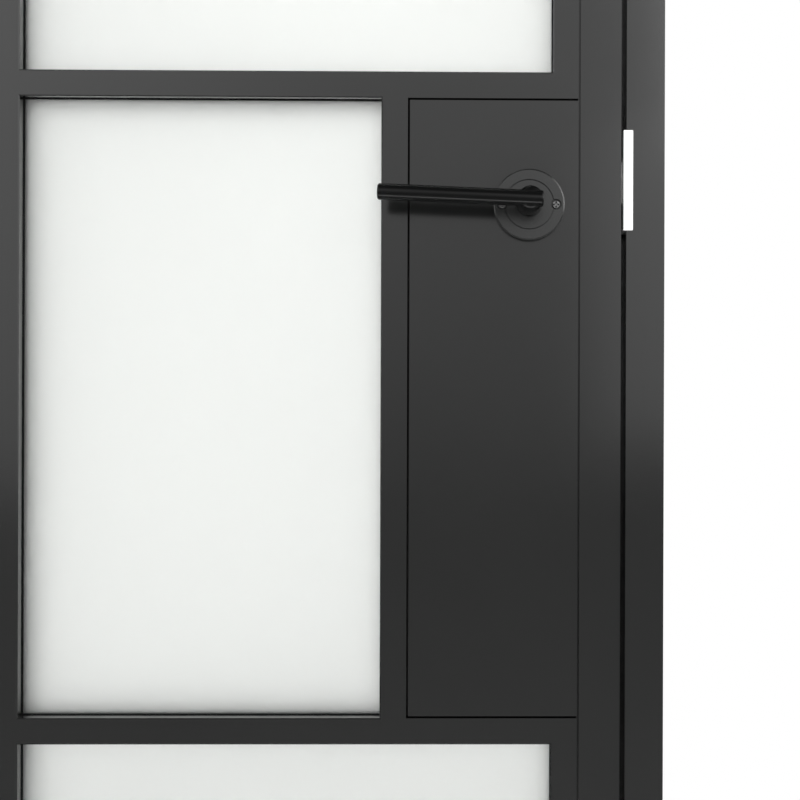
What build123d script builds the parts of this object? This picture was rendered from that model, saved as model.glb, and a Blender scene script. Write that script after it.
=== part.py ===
"""Glazed door leaf in its frame, closed. X runs to the right seen from the pull side, Y into the door, Z up.

The origin is at floor level, midway across the opening and midway through the leaf. Millimetres.
"""

from build123d import *
import os

os.makedirs("parts", exist_ok=True)

# Leaf
leaf_width = 930.0
leaf_height = 2115.0
leaf_depth = 40.0
floor_gap = 8.0
edge_gap = 4.0
stile_width = 31.0
bottom_rail_height = 102.0
profile_wall = 3.5
groove_width = 1.6
groove_depth = 8.0

# Glazing grid
border_width = 19.4
bar_width = 20.0
row_count = 4
lock_row = 1
front_grid_depth = 9.0
glass_thickness = 8.0
gasket_thickness = 1.0
gasket_lip = 0.8
web_width = 8.0
glass_edge_gap = 1.0
arris = 0.8

# Lock panels and block
lock_panel_width = 127.7
panel_thickness = 3.0

# Frame
face_width = 29.0
frame_depth = 80.0
stop_height = 15.0
stop_gap = 3.0
seal_width = 6.0
seal_gap = 0.3
cleat_length = 70.0
cleat_depth = 32.0
fixing_hole_r = 3.25
access_hole_r = 6.0
fixing_from_end = 112.0
fixing_inner_spacing = 730.0
head_fixing_spacing = 560.0
cap_thickness = 1.0

# Hinges
hinge_height = 100.0
hinge_from_end = 222.0
hinge_flap_width = 30.0
hinge_flap_thickness = 2.2
knuckle_r = 7.0
knuckle_clear = 1.0
knuckle_end_height = 30.0
knuckle_gap = 0.4
pin_r = 3.5
running_clearance = 0.05
pin_cap_height = 4.0
hinge_screw_pitch = 36.0
screw_head_r = 4.0
screw_shank_r = 2.2
screw_length = 10.0

# Handle
handle_below_bar = 81.3
backset = 70.0
rose_r = 26.8
rose_height = 8.5
rose_edge = 1.0
rose_disc_r = 18.2
rose_disc_thickness = 3.0
rose_line_width = 0.7
rose_screw_offset = 20.3
rose_sink_r = 4.1
rose_head_r = 3.0
rose_head_drop = 0.5
rose_shank_r = 2.0
rose_cross_depth = 2.0
cross_reach = 1.3
cross_width = 0.34
sleeve_r = 2.9
sleeve_length = 18.0
neck_r = 9.5
neck_shoulder = 6.0
lever_reach = 44.5
lever_length = 110.6
lever_heel = 9.4
grip_r = 6.0
grip_edge = 0.8
lever_tilt = 2.25
spindle_side = 8.0
spindle_end_gap = 8.0
grub_r = 2.5
grub_beyond_rose = 9.0

# Lock
case_thickness = 15.0
case_wall = 1.5
case_behind_spindle = 27.0
case_below = 62.0
case_above = 63.0
case_fit = 0.2
faceplate_width = 20.0
faceplate_beyond_case = 27.5
faceplate_thickness = 2.0
latch_rise = 19.6
latch_height = 32.0
latch_thickness = 11.8
latch_throw = 11.0
latch_head_length = 31.0
latch_nose = 3.0
latch_clearance = 0.3
tail_height = 5.4
tail_thickness = 5.0
follower_r = 10.0
journal_r = 8.0
arm_length = 19.0
arm_width = 6.0
arm_gap = 0.5
hook_depth = 7.6
hook_width = 4.5
tail_clearance = 0.6
spring_r = 3.2
spring_wire = 0.8
spring_turns = 5
spring_guide_r = 1.6
spring_guide_length = 5.0
case_screw_inset = 7.0
case_screw_r = 1.6

# Strike
strike_height = 76.0
strike_thickness = 2.4
strike_lip_width = 7.4
strike_lip_thickness = 2.0
strike_lip_corner_r = 0.6
strike_leg_depth = 12.0
strike_screw_offset = 26.5
strike_head_r = 3.4
strike_box_depth = 11.0
strike_box_wall = 1.0

# Places worked out from the sizes above
leaf_x = leaf_width / 2
leaf_front = -leaf_depth / 2
leaf_back = leaf_depth / 2
leaf_bottom = floor_gap
leaf_top = leaf_bottom + leaf_height
jamb_x = leaf_x + edge_gap
frame_x = jamb_x + face_width
head_bottom = leaf_top + edge_gap
frame_top = head_bottom + face_width
frame_back = leaf_front + frame_depth
stop_front = leaf_back + stop_gap
stop_x = jamb_x - stop_height
stop_bottom = head_bottom - stop_height

grid_x = leaf_x - stile_width - groove_width
grid_bottom = leaf_bottom + bottom_rail_height + groove_width
grid_top = leaf_top - stile_width - groove_width
panes_bottom = grid_bottom + border_width
panes_top = grid_top - border_width
pane_height = (panes_top - panes_bottom - (row_count - 1) * bar_width) / row_count
pane_edge_x = grid_x - border_width

glass_front = leaf_front + front_grid_depth + gasket_thickness
glass_back = glass_front + glass_thickness
flange_front = glass_back + gasket_thickness
web_front = leaf_front + front_grid_depth
rebate = (bar_width - web_width) / 2
glass_overlap = rebate - glass_edge_gap

lock_row_bottom = panes_bottom + lock_row * (pane_height + bar_width)
lock_row_top = lock_row_bottom + pane_height
panel_left = grid_x - lock_panel_width
cell_left = panel_left - groove_width
lock_pane_right = cell_left - bar_width
panel_bottom = lock_row_bottom + groove_width
panel_top = lock_row_top - groove_width

handle_x = leaf_x - backset
handle_z = lock_row_top - handle_below_bar
latch_z = handle_z + latch_rise
rose_front = leaf_front - rose_height
grip_y = leaf_front - lever_reach
case_back_x = handle_x - case_behind_spindle
case_front_x = leaf_x - faceplate_thickness
case_bottom = handle_z - case_below
case_top = handle_z + case_above
half_case = case_thickness / 2
hinge_x = -leaf_x - edge_gap / 2
hinge_y = leaf_front - knuckle_r - knuckle_clear
hinge_heights = {
    "bottom": leaf_bottom + hinge_from_end,
    "middle": (leaf_bottom + leaf_top) / 2,
    "top": leaf_top - hinge_from_end,
}


def block(low, high):
    """Rectangular block between two opposite corners."""
    size = Vector(*high) - Vector(*low)
    return Pos(*low) * Box(size.X, size.Y, size.Z, align=(Align.MIN, Align.MIN, Align.MIN))


def group(*pieces):
    """Separate solids kept together as one node."""
    return Compound(children=[solid for piece in pieces for solid in piece.solids()])


def mirror_x(part):
    """The same piece for the other side of the opening."""
    return mirror(part, about=Plane.YZ)


def mirror_y(part):
    """The same piece for the push side of the leaf."""
    return mirror(part, about=Plane.XZ)


def rod(radius, start, end):
    """Round bar between two points."""
    line = Vector(*end) - Vector(*start)
    return Plane(origin=start, z_dir=line) * Cylinder(
        radius, line.length, align=(Align.CENTER, Align.CENTER, Align.MIN)
    )


def tube_section(points):
    """Closed section with an even wall, from the points of its outline."""
    outline = make_face(Polyline(*points, close=True))
    return outline - offset(outline, -profile_wall, kind=Kind.INTERSECTION)


def countersunk(head_r, shank_r, length, seat, direction, recess=0.0):
    """Countersunk screw: the top of its head is at the seat, its shank runs along the direction.

    With no recess it is also the cutter for the screw's own hole.
    """
    low = (Align.CENTER, Align.CENTER, Align.MIN)
    screw = Cone(head_r, shank_r, head_r - shank_r, align=low) + Cylinder(shank_r, length, align=low)
    if recess:
        slot = Box(cross_reach * head_r, cross_width * head_r, recess, align=low)
        screw -= slot + Rot(0, 0, 90) * slot
    return Plane(origin=seat, z_dir=direction) * screw


def save(node, part):
    export_step(part, f"parts/{node}.step")


# Leaf frame: two stiles over the full height and two rails between them. A step along each inner edge
# leaves the groove on both faces.
def stile_outline(inner, outer, step):
    """Outline across a stile or rail: its faces end at inner, its middle goes on to the step."""
    return [
        (outer, leaf_front),
        (inner, leaf_front),
        (inner, leaf_front + groove_depth),
        (step, leaf_front + groove_depth),
        (step, leaf_back - groove_depth),
        (inner, leaf_back - groove_depth),
        (inner, leaf_back),
        (outer, leaf_back),
    ]


def rail(inner, outer, step):
    """Rail between the stiles, its section in Y and Z carried along X."""
    section = tube_section([(y, z) for z, y in stile_outline(inner, outer, step)])
    return Pos(-grid_x, 0, 0) * extrude(Plane.YZ * section, 2 * grid_x)


stile_section = tube_section(stile_outline(leaf_x - stile_width, leaf_x, grid_x))
plain_stile = Pos(0, 0, leaf_bottom) * extrude(stile_section, leaf_height)
top_rail = rail(leaf_top - stile_width, leaf_top, grid_top)
bottom_rail = rail(leaf_bottom + bottom_rail_height, leaf_bottom, grid_bottom)


def rail_cleat(low_z, high_z):
    """Block inside the end of a rail, against the stile."""
    return block(
        (grid_x - cleat_length / 2, leaf_front + profile_wall, low_z + profile_wall),
        (grid_x, leaf_back - profile_wall, high_z - profile_wall),
    )


cleat_pair = [rail_cleat(leaf_top - stile_width, leaf_top)]
cleat_pair.append(rail_cleat(leaf_bottom, leaf_bottom + bottom_rail_height))
rail_cleats = group(*cleat_pair, *[mirror_x(cleat) for cleat in cleat_pair])


# Glazing grid
def pane_openings():
    """Each pane's opening in the grid, by name: its left, right, bottom and top."""
    openings = {}
    for row in range(row_count):
        low = panes_bottom + row * (pane_height + bar_width)
        right = lock_pane_right if row == lock_row else pane_edge_x
        openings[f"row{row + 1}_left"] = (-pane_edge_x, -bar_width / 2, low, low + pane_height)
        openings[f"row{row + 1}_right"] = (bar_width / 2, right, low, low + pane_height)
    return openings


def pane_block(opening, margin, front, back):
    """Block that fills a pane's opening and goes past its edges by the margin."""
    left, right, low, high = opening
    return block((left - margin, front, low - margin), (right + margin, back, high + margin))


openings = pane_openings()
lock_cell = block((cell_left, leaf_front, lock_row_bottom), (grid_x, leaf_back, lock_row_top))


def lattice(front, back, margin):
    """Flat grid with a window at each pane, widened by the margin, and the cell for the lock left out."""
    part = block((-grid_x, front, grid_bottom), (grid_x, back, grid_top))
    for opening in openings.values():
        part -= pane_block(opening, margin, front, back)
    return part - lock_cell


def ease_windows(part, face):
    """Small chamfer round each window where it meets an outer face of the leaf."""
    return chamfer([edge for wire in face.inner_wires() for edge in wire.edges()], arris)


front_grid = lattice(leaf_front, web_front, 0)
front_grid = ease_windows(front_grid, front_grid.faces().sort_by(Axis.Y)[0])
back_grid = lattice(flange_front, leaf_back, 0) + lattice(web_front, flange_front, rebate)
back_grid = ease_windows(back_grid, back_grid.faces().sort_by(Axis.Y)[-1])


def gasket(opening, front):
    """Flat strip round the edge of a pane, its lip just inside the opening."""
    back = front + gasket_thickness
    return pane_block(opening, glass_overlap, front, back) - pane_block(opening, -gasket_lip, front, back)


front_gaskets = group(*[gasket(opening, web_front) for opening in openings.values()])
back_gaskets = group(*[gasket(opening, glass_back) for opening in openings.values()])

# Lock panels, flush with the leaf's faces, on a block that fills the cell between them
screw_xs = (handle_x - rose_screw_offset, handle_x + rose_screw_offset)


def handle_holes(neck_hole_r, screw_hole_r, front, back):
    """Holes for the spindle and the two rose screws."""
    holes = rod(neck_hole_r, (handle_x, front, handle_z), (handle_x, back, handle_z))
    for x in screw_xs:
        holes += rod(screw_hole_r, (x, front, handle_z), (x, back, handle_z))
    return holes


panel_holes = handle_holes(neck_r + latch_clearance, sleeve_r + case_fit, leaf_front, leaf_back)
front_panel = block((panel_left, leaf_front, panel_bottom), (grid_x, leaf_front + panel_thickness, panel_top))
front_panel -= panel_holes
back_panel = mirror_y(front_panel)
case_slot = block(
    (case_back_x - case_fit, -half_case - case_fit, case_bottom - case_fit),
    (leaf_x, half_case + case_fit, case_top + case_fit),
)
lock_block = block(
    (cell_left, leaf_front + groove_depth, lock_row_bottom),
    (grid_x, leaf_back - groove_depth, lock_row_top),
)
lock_block += block(
    (panel_left, leaf_front + panel_thickness, panel_bottom),
    (grid_x, leaf_back - panel_thickness, panel_top),
)
lock_block -= case_slot + panel_holes

# Lock case: a tray with its cover, and a faceplate let into the edge of the leaf
hole_r = journal_r + running_clearance
case_holes = handle_holes(hole_r, sleeve_r + case_fit, -half_case, half_case)
case_rim_y = half_case - case_wall
case_outer = block((case_back_x, -half_case, case_bottom), (case_front_x, case_rim_y, case_top))
case_inner = block(
    (case_back_x + case_wall, -half_case + case_wall, case_bottom + case_wall),
    (case_front_x - case_wall, case_rim_y, case_top - case_wall),
)
window_half_y = latch_thickness / 2 + latch_clearance
window_half_z = latch_height / 2 + latch_clearance
latch_window = block(
    (case_back_x + case_wall, -window_half_y, latch_z - window_half_z),
    (frame_x, window_half_y, latch_z + window_half_z),
)
case_screw_places = [
    (x, z)
    for x in (case_back_x + case_screw_inset, case_front_x - case_screw_inset)
    for z in (case_bottom + case_screw_inset, case_top - case_screw_inset)
]
case_posts = [
    rod(2 * case_screw_r, (x, -half_case, z), (x, case_rim_y, z)) for x, z in case_screw_places
]
case_screw_places_3d = [(x, half_case, z) for x, z in case_screw_places]
case_screw_head_r = case_screw_r + case_wall
case_screw_length = case_thickness - 2 * case_wall
case_screw_cut = [
    countersunk(case_screw_head_r, case_screw_r, case_screw_length, place, (0, -1, 0))
    for place in case_screw_places_3d
]
case_cover = block((case_back_x, case_rim_y, case_bottom), (case_front_x, half_case, case_top))
case_cover -= case_holes
lock_case = case_outer - case_inner
for post in case_posts:
    lock_case += post
lock_case -= case_holes + latch_window
for cutter in case_screw_cut:
    lock_case -= cutter
    case_cover -= cutter
case_screws = group(
    *[
        countersunk(case_screw_head_r, case_screw_r, case_screw_length, place, (0, -1, 0), case_wall / 2)
        for place in case_screw_places_3d
    ]
)
faceplate_low = case_bottom - faceplate_beyond_case
faceplate_high = case_top + faceplate_beyond_case
faceplate_block = block(
    (case_front_x, -faceplate_width / 2, faceplate_low), (leaf_x, faceplate_width / 2, faceplate_high)
)
faceplate_screw_zs = (case_bottom - faceplate_beyond_case / 2, case_top + faceplate_beyond_case / 2)
faceplate_seats = [(leaf_x, 0, z) for z in faceplate_screw_zs]
faceplate = faceplate_block - latch_window
for seat in faceplate_seats:
    faceplate -= countersunk(screw_head_r, screw_shank_r, screw_length, seat, (-1, 0, 0))
faceplate_screws = group(
    *[
        countersunk(screw_head_r, screw_shank_r, screw_length, seat, (-1, 0, 0), faceplate_thickness / 2)
        for seat in faceplate_seats
    ]
)
lock_stile = plain_stile - case_slot - faceplate_block
for seat in faceplate_seats:
    lock_stile -= rod(screw_shank_r, (seat[0] - screw_length, 0, seat[2]), seat)

# Latch: a head bevelled on the closing side, and a tail whose hook the follower's arm pulls back
head_front_y = -latch_thickness / 2
head_back_x = leaf_x + latch_throw - latch_head_length
latch_tip_x = leaf_x + latch_throw
bevel_x = latch_tip_x - (latch_thickness - latch_nose)
head_outline = make_face(
    Polyline(
        (head_back_x, head_front_y),
        (latch_tip_x, head_front_y),
        (latch_tip_x, head_front_y + latch_nose),
        (bevel_x, latch_thickness / 2),
        (head_back_x, latch_thickness / 2),
        close=True,
    )
)
latch_bolt = Pos(0, 0, latch_z - latch_height / 2) * extrude(head_outline, latch_height)
tail_low = handle_z + arm_length + tail_clearance
hook_front_x = handle_x - arm_width / 2 - arm_gap
hook_back_x = hook_front_x - hook_width
tail_half = tail_thickness / 2
tail_mid_z = tail_low + tail_height / 2
latch_bolt += block((hook_back_x, -tail_half, tail_low), (head_back_x, tail_half, tail_low + tail_height))
latch_bolt += block((hook_back_x, -tail_half, tail_low - hook_depth), (hook_front_x, tail_half, tail_low))
guide_end_x = hook_back_x - spring_guide_length
latch_bolt += rod(spring_guide_r, (hook_back_x, 0, tail_mid_z), (guide_end_x, 0, tail_mid_z))
spring_start = case_back_x + case_wall + spring_wire / 2
spring_length = hook_back_x - spring_start - spring_wire / 2
spring_path = Helix(pitch=spring_length / spring_turns, height=spring_length, radius=spring_r)
spring_section = Plane(origin=spring_path @ 0, z_dir=spring_path % 0) * Circle(spring_wire / 2)
latch_spring = Pos(spring_start, 0, tail_mid_z) * Rot(0, 90, 0) * sweep(spring_section, spring_path)

# Follower on the square spindle, its journals in the case
follower = rod(journal_r, (handle_x, -half_case, handle_z), (handle_x, half_case, handle_z))
follower_half = half_case - case_wall - latch_clearance
follower += rod(follower_r, (handle_x, -follower_half, handle_z), (handle_x, follower_half, handle_z))
follower += block(
    (handle_x - arm_width / 2, -tail_half, handle_z),
    (handle_x + arm_width / 2, tail_half, handle_z + arm_length),
)
spindle_half = lever_reach + leaf_depth / 2 - spindle_end_gap
half_side = spindle_side / 2
spindle = block(
    (handle_x - half_side, -spindle_half, handle_z - half_side),
    (handle_x + half_side, spindle_half, handle_z + half_side),
)
follower -= spindle

# Roses: a ring with a chamfered rim and a disc let into it, parted by a fine line
rose = rod(rose_r, (handle_x, leaf_front, handle_z), (handle_x, rose_front, handle_z))
rose = chamfer(rose.faces().sort_by(Axis.Y)[0].edges(), rose_edge)
disc_back = rose_front + rose_disc_thickness
rose -= rod(rose_disc_r + rose_line_width, (handle_x, disc_back, handle_z), (handle_x, rose_front, handle_z))
rose_disc = rod(rose_disc_r, (handle_x, disc_back, handle_z), (handle_x, rose_front, handle_z))
bore_r = neck_r + running_clearance
neck_bore = rod(bore_r, (handle_x, leaf_front, handle_z), (handle_x, rose_front, handle_z))
rose -= neck_bore
rose_disc -= neck_bore
head_top_y = rose_front + rose_head_drop
head_seats = [(x, head_top_y, handle_z) for x in screw_xs]
for x, y, z in head_seats:
    sink = rod(rose_sink_r, (x, disc_back, z), (x, rose_front, z))
    shank_hole = rod(sleeve_r + case_fit, (x, leaf_front, z), (x, rose_front, z))
    rose -= sink + shank_hole
    rose_disc -= sink + shank_hole
back_rose = mirror_y(rose)
back_rose_disc = mirror_y(rose_disc)
rose_head_height = disc_back - head_top_y


def rose_screw(seat):
    """Long machine screw: a raised head in the rose's sink, a shank through the leaf into its sleeve."""
    x, y, z = seat
    head = rod(rose_head_r, (x, y + rose_head_height, z), seat)
    head = fillet(head.faces().sort_by(Axis.Y)[0].edges(), rose_head_drop)
    head += rod(rose_shank_r, seat, (x, leaf_back, z))
    slot = Box(cross_reach * rose_head_r, 2 * rose_cross_depth, cross_width * rose_head_r)
    return head - Pos(*seat) * (slot + Rot(0, 90, 0) * slot)


def rose_sleeve(seat):
    """Sleeve nut from the push side: a head in the rear rose and a bored shank."""
    x, y, z = seat
    top = -y
    sleeve = rod(rose_head_r, (x, top - rose_head_height, z), (x, top, z))
    sleeve += rod(sleeve_r, (x, top - sleeve_length, z), (x, top, z))
    return sleeve - rod(rose_shank_r, (x, top - sleeve_length, z), (x, leaf_back, z))


rose_screws = group(*[rose_screw(seat) for seat in head_seats])
rose_sleeves = group(*[rose_sleeve(seat) for seat in head_seats])

# Levers: a round neck with a rounded shoulder, and a straight round grip that rises a little to its tip
neck_end_y = grip_y - half_side
neck = rod(neck_r, (handle_x, leaf_front + rose_edge, handle_z), (handle_x, neck_end_y, handle_z))
neck = fillet(neck.faces().sort_by(Axis.Y)[0].edges(), neck_shoulder)
grip_length = lever_length + lever_heel
grip = Cylinder(grip_r, grip_length, align=(Align.CENTER, Align.CENTER, Align.MIN))
grip = fillet(grip.edges().filter_by(GeomType.CIRCLE), grip_edge)
grip = Pos(handle_x, grip_y, handle_z) * Rot(0, lever_tilt - 90, 0) * Pos(0, 0, -lever_heel) * grip
grub_y = rose_front - grub_beyond_rose
grub_top = (handle_x, grub_y, handle_z - half_side)
grub = rod(grub_r, grub_top, (handle_x, grub_y, handle_z - neck_r + rose_edge))
lever = neck + grip - spindle - rod(grub_r, grub_top, (handle_x, grub_y, handle_z - neck_r - rose_edge))
grub -= Pos(handle_x, grub_y, handle_z - neck_r + rose_edge) * Box(grub_r, grub_r, grub_r)
back_lever = mirror_y(lever)
grub_screws = group(grub, mirror_y(grub))


# Hinges: the pin stands in front of the faces, in line with the middle of the gap
def knuckle(z, low, high):
    """Stretch of the hinge barrel between two heights above the hinge's middle."""
    return rod(knuckle_r, (hinge_x, hinge_y, z + low), (hinge_x, hinge_y, z + high))


def flap(near_x, far_x, z):
    """Flat plate of a hinge, let into the edge that carries it."""
    half = hinge_height / 2
    return block(
        (min(near_x, far_x), leaf_front, z - half),
        (max(near_x, far_x), leaf_front + hinge_flap_width, z + half),
    )


def flap_link(near_x, far_x, z, low, high):
    """The flap's way round to its knuckle, within the knuckle's height."""
    return block((min(near_x, far_x), hinge_y, z + low), (max(near_x, far_x), leaf_front, z + high))


flap_screw_y = leaf_front + hinge_flap_width / 2
leaf_flap_xs = (-leaf_x, -leaf_x + hinge_flap_thickness)
frame_flap_xs = (-jamb_x, -jamb_x - hinge_flap_thickness)
half_hinge = hinge_height / 2
end_knuckle = half_hinge - knuckle_end_height
hinge_stile = mirror_x(plain_stile)
jamb_outline = [
    (jamb_x, leaf_front),
    (frame_x, leaf_front),
    (frame_x, frame_back),
    (stop_x, frame_back),
    (stop_x, stop_front),
    (jamb_x, stop_front),
]
head_outline_yz = [(y, x - jamb_x + head_bottom) for x, y in jamb_outline]
whole_jamb = extrude(tube_section(jamb_outline), frame_top)
whole_head = Pos(-frame_x, 0, 0) * extrude(Plane.YZ * tube_section(head_outline_yz), 2 * frame_x)
mitre = Plane(origin=(frame_x, 0, frame_top), z_dir=(-1, 0, 1))
plain_jamb = split(whole_jamb, bisect_by=mitre, keep=Keep.BOTTOM)
head_half = split(whole_head, bisect_by=mitre, keep=Keep.TOP)
other_mitre = Plane(origin=(-frame_x, 0, frame_top), z_dir=(1, 0, 1))
head_jamb = split(head_half, bisect_by=other_mitre, keep=Keep.TOP)
frame_middle = frame_top / 2
fixing_heights = (
    fixing_from_end,
    frame_middle - fixing_inner_spacing / 2,
    frame_middle + fixing_inner_spacing / 2,
    frame_top - fixing_from_end,
)
caps = []
for z in fixing_heights:
    plain_jamb -= rod(fixing_hole_r, (frame_x - profile_wall, 0, z), (frame_x, 0, z))
    access = rod(access_hole_r, (jamb_x, 0, z), (jamb_x + profile_wall, 0, z))
    plain_jamb -= access
    cap = rod(access_hole_r, (jamb_x, 0, z), (jamb_x + cap_thickness, 0, z))
    caps += [cap, mirror_x(cap)]
for x in (-head_fixing_spacing / 2, head_fixing_spacing / 2):
    head_jamb -= rod(fixing_hole_r, (x, 0, frame_top - profile_wall), (x, 0, frame_top))
    head_jamb -= rod(access_hole_r, (x, 0, head_bottom), (x, 0, head_bottom + profile_wall))
    caps.append(rod(access_hole_r, (x, 0, head_bottom), (x, 0, head_bottom + cap_thickness)))
fixing_caps = group(*caps)
hinge_jamb = mirror_x(plain_jamb)
leaf_screws = []
frame_screws = []
for name, z in hinge_heights.items():
    bore = rod(
        pin_r + running_clearance,
        (hinge_x, hinge_y, z - hinge_height),
        (hinge_x, hinge_y, z + hinge_height),
    )
    middle_low = -end_knuckle + knuckle_gap
    leaf_flap = flap(*leaf_flap_xs, z)
    frame_flap = flap(*frame_flap_xs, z)
    hinge_stile -= leaf_flap
    hinge_jamb -= frame_flap
    leaf_plate = leaf_flap + flap_link(*leaf_flap_xs, z, middle_low, -middle_low)
    leaf_plate += knuckle(z, middle_low, -middle_low)
    frame_plate = frame_flap
    for low, high in ((-half_hinge, -end_knuckle), (end_knuckle, half_hinge)):
        frame_plate += flap_link(*frame_flap_xs, z, low, high) + knuckle(z, low, high)
    for step in (-hinge_screw_pitch, 0, hinge_screw_pitch):
        leaf_seat = (-leaf_x, flap_screw_y, z + step)
        frame_seat = (-jamb_x, flap_screw_y, z + step)
        leaf_cut = countersunk(screw_head_r, screw_shank_r, screw_length, leaf_seat, (1, 0, 0))
        frame_cut = countersunk(screw_head_r, screw_shank_r, screw_length, frame_seat, (-1, 0, 0))
        leaf_plate -= leaf_cut
        hinge_stile -= leaf_cut
        frame_plate -= frame_cut
        hinge_jamb -= frame_cut
        recess = hinge_flap_thickness / 2
        leaf_screws.append(
            countersunk(screw_head_r, screw_shank_r, screw_length, leaf_seat, (1, 0, 0), recess)
        )
        frame_screws.append(
            countersunk(screw_head_r, screw_shank_r, screw_length, frame_seat, (-1, 0, 0), recess)
        )
    pin = rod(pin_r, (hinge_x, hinge_y, z - half_hinge), (hinge_x, hinge_y, z + half_hinge))
    for low, high in ((-half_hinge - pin_cap_height, -half_hinge), (half_hinge, half_hinge + pin_cap_height)):
        cap = knuckle(z, low, high)
        outer_face = cap.faces().sort_by(Axis.Z)[0 if low < 0 else -1]
        pin += fillet(outer_face.edges(), pin_cap_height / 2)
    save(f"hinge_leaf_plate_{name}", leaf_plate - bore)
    save(f"hinge_frame_plate_{name}", frame_plate - bore)
    save(f"hinge_pin_{name}", pin)
hinge_leaf_screws = group(*leaf_screws)
hinge_frame_screws = group(*frame_screws)

# Strike: a plate on the jamb whose lip wraps onto the frame's face, with a box behind the latch
strike_low = latch_z - strike_height / 2
strike_high = latch_z + strike_height / 2
strike_x = jamb_x - strike_thickness
lip_x = strike_x + strike_lip_width
lip_back = leaf_front + strike_lip_thickness
strike_leg = block((strike_x, leaf_front, strike_low), (jamb_x, strike_leg_depth, strike_high))
strike_lip = block((strike_x, leaf_front, strike_low), (lip_x, lip_back, strike_high))
strike_plate = strike_leg + strike_lip
lip_corners = strike_plate.edges().filter_by(Axis.Y).group_by(Axis.X)[-1]
strike_plate = fillet(lip_corners, strike_lip_corner_r)
nose = strike_plate.edges().filter_by(Axis.Z).group_by(Axis.X)[0].sort_by(Axis.Y)[0]
strike_plate = fillet(nose, strike_lip_thickness / 2)
box_half_y = window_half_y + strike_box_wall
box_half_z = window_half_z + strike_box_wall
box_end_x = jamb_x + strike_box_depth
box_outer = block(
    (jamb_x, -box_half_y, latch_z - box_half_z), (box_end_x, box_half_y, latch_z + box_half_z)
)
strike_box = box_outer - block(
    (jamb_x, -box_half_y + strike_box_wall, latch_z - box_half_z + strike_box_wall),
    (box_end_x - strike_box_wall, box_half_y - strike_box_wall, latch_z + box_half_z - strike_box_wall),
)
strike_screws = []
lip_seat = block((jamb_x, leaf_front, strike_low), (lip_x, lip_back, strike_high))
lock_jamb = plain_jamb - box_outer - lip_seat
strike_plate -= latch_window
for offset_z in (-strike_screw_offset, strike_screw_offset):
    seat = (strike_x, 0, latch_z + offset_z)
    cut = countersunk(strike_head_r, screw_shank_r, screw_length, seat, (1, 0, 0))
    strike_plate -= cut
    lock_jamb -= cut
    strike_screws.append(
        countersunk(strike_head_r, screw_shank_r, screw_length, seat, (1, 0, 0), strike_thickness / 2)
    )
strike_screws = group(*strike_screws)


# Frame cleats in the mitred corners, and seals on the stop
def frame_cleat():
    """Angle inside a top corner of the frame, one leg in each hollow section."""
    outer_x = frame_x - profile_wall
    outer_z = frame_top - profile_wall
    leg = face_width - 2 * profile_wall
    front = leaf_front + profile_wall
    back = front + cleat_depth
    upright = block((outer_x - leg, front, outer_z - cleat_length), (outer_x, back, outer_z))
    return upright + block((outer_x - cleat_length, front, outer_z - leg), (outer_x, back, outer_z))


corner_cleat = frame_cleat()
frame_cleats = group(corner_cleat, mirror_x(corner_cleat))
seal_front = leaf_back + seal_gap
seal_x = stop_x + (stop_height - seal_width) / 2
seal_top = stop_bottom + (stop_height - seal_width) / 2
seal_depth = stop_front - seal_front


def seal_strip(length):
    """Half-round strip, its flat side on the stop."""
    flat = Box(seal_width, length, seal_depth, align=(Align.CENTER, Align.MIN, Align.MIN))
    return chamfer(flat.faces().sort_by(Axis.Z)[-1].edges().filter_by(Axis.Y), seal_depth / 2)


upright_seal = Plane(
    origin=(seal_x + seal_width / 2, stop_front, 0), x_dir=(1, 0, 0), z_dir=(0, -1, 0)
) * seal_strip(seal_top)
head_seal_length = 2 * seal_x
head_seal = Plane(
    origin=(seal_x, stop_front, seal_top + seal_width / 2), x_dir=(0, 0, 1), z_dir=(0, -1, 0)
) * seal_strip(head_seal_length)

save("hinge_jamb", hinge_jamb)
save("lock_jamb", lock_jamb)
save("head_jamb", head_jamb)
save("frame_corner_cleats", frame_cleats)
save("fixing_hole_caps", fixing_caps)
save("hinge_jamb_seal", mirror_x(upright_seal))
save("lock_jamb_seal", upright_seal)
save("head_seal", head_seal)
save("strike_plate", strike_plate)
save("strike_box", strike_box)
save("strike_screws", strike_screws)
save("hinge_frame_screws", hinge_frame_screws)
save("hinge_leaf_screws", hinge_leaf_screws)
save("lock_stile", lock_stile)
save("hinge_stile", hinge_stile)
save("top_rail", top_rail)
save("bottom_rail", bottom_rail)
save("rail_end_cleats", rail_cleats)
save("front_grid", front_grid)
save("back_grid", back_grid)
for name, opening in openings.items():
    save(f"glass_{name}", pane_block(opening, glass_overlap, glass_front, glass_back))
save("front_gaskets", front_gaskets)
save("back_gaskets", back_gaskets)
save("front_lock_panel", front_panel)
save("back_lock_panel", back_panel)
save("lock_block", lock_block)
save("lock_case", lock_case)
save("lock_case_cover", case_cover)
save("lock_case_screws", case_screws)
save("lock_faceplate", faceplate)
save("faceplate_screws", faceplate_screws)
save("front_rose", rose)
save("front_rose_disc", rose_disc)
save("back_rose", back_rose)
save("back_rose_disc", back_rose_disc)
save("rose_screws", rose_screws)
save("rose_sleeve_nuts", rose_sleeves)
save("front_lever", lever)
save("back_lever", back_lever)
save("spindle", spindle)
save("follower", follower)
save("lever_grub_screws", grub_screws)
save("latch_bolt", latch_bolt)
save("latch_spring", latch_spring)
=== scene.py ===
"""Finishes, stage and camera for a glazed door in its frame, laid out as an add-on and run as a script."""

import math

import bpy
import numpy as np
from mathutils import Matrix, Vector


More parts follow.
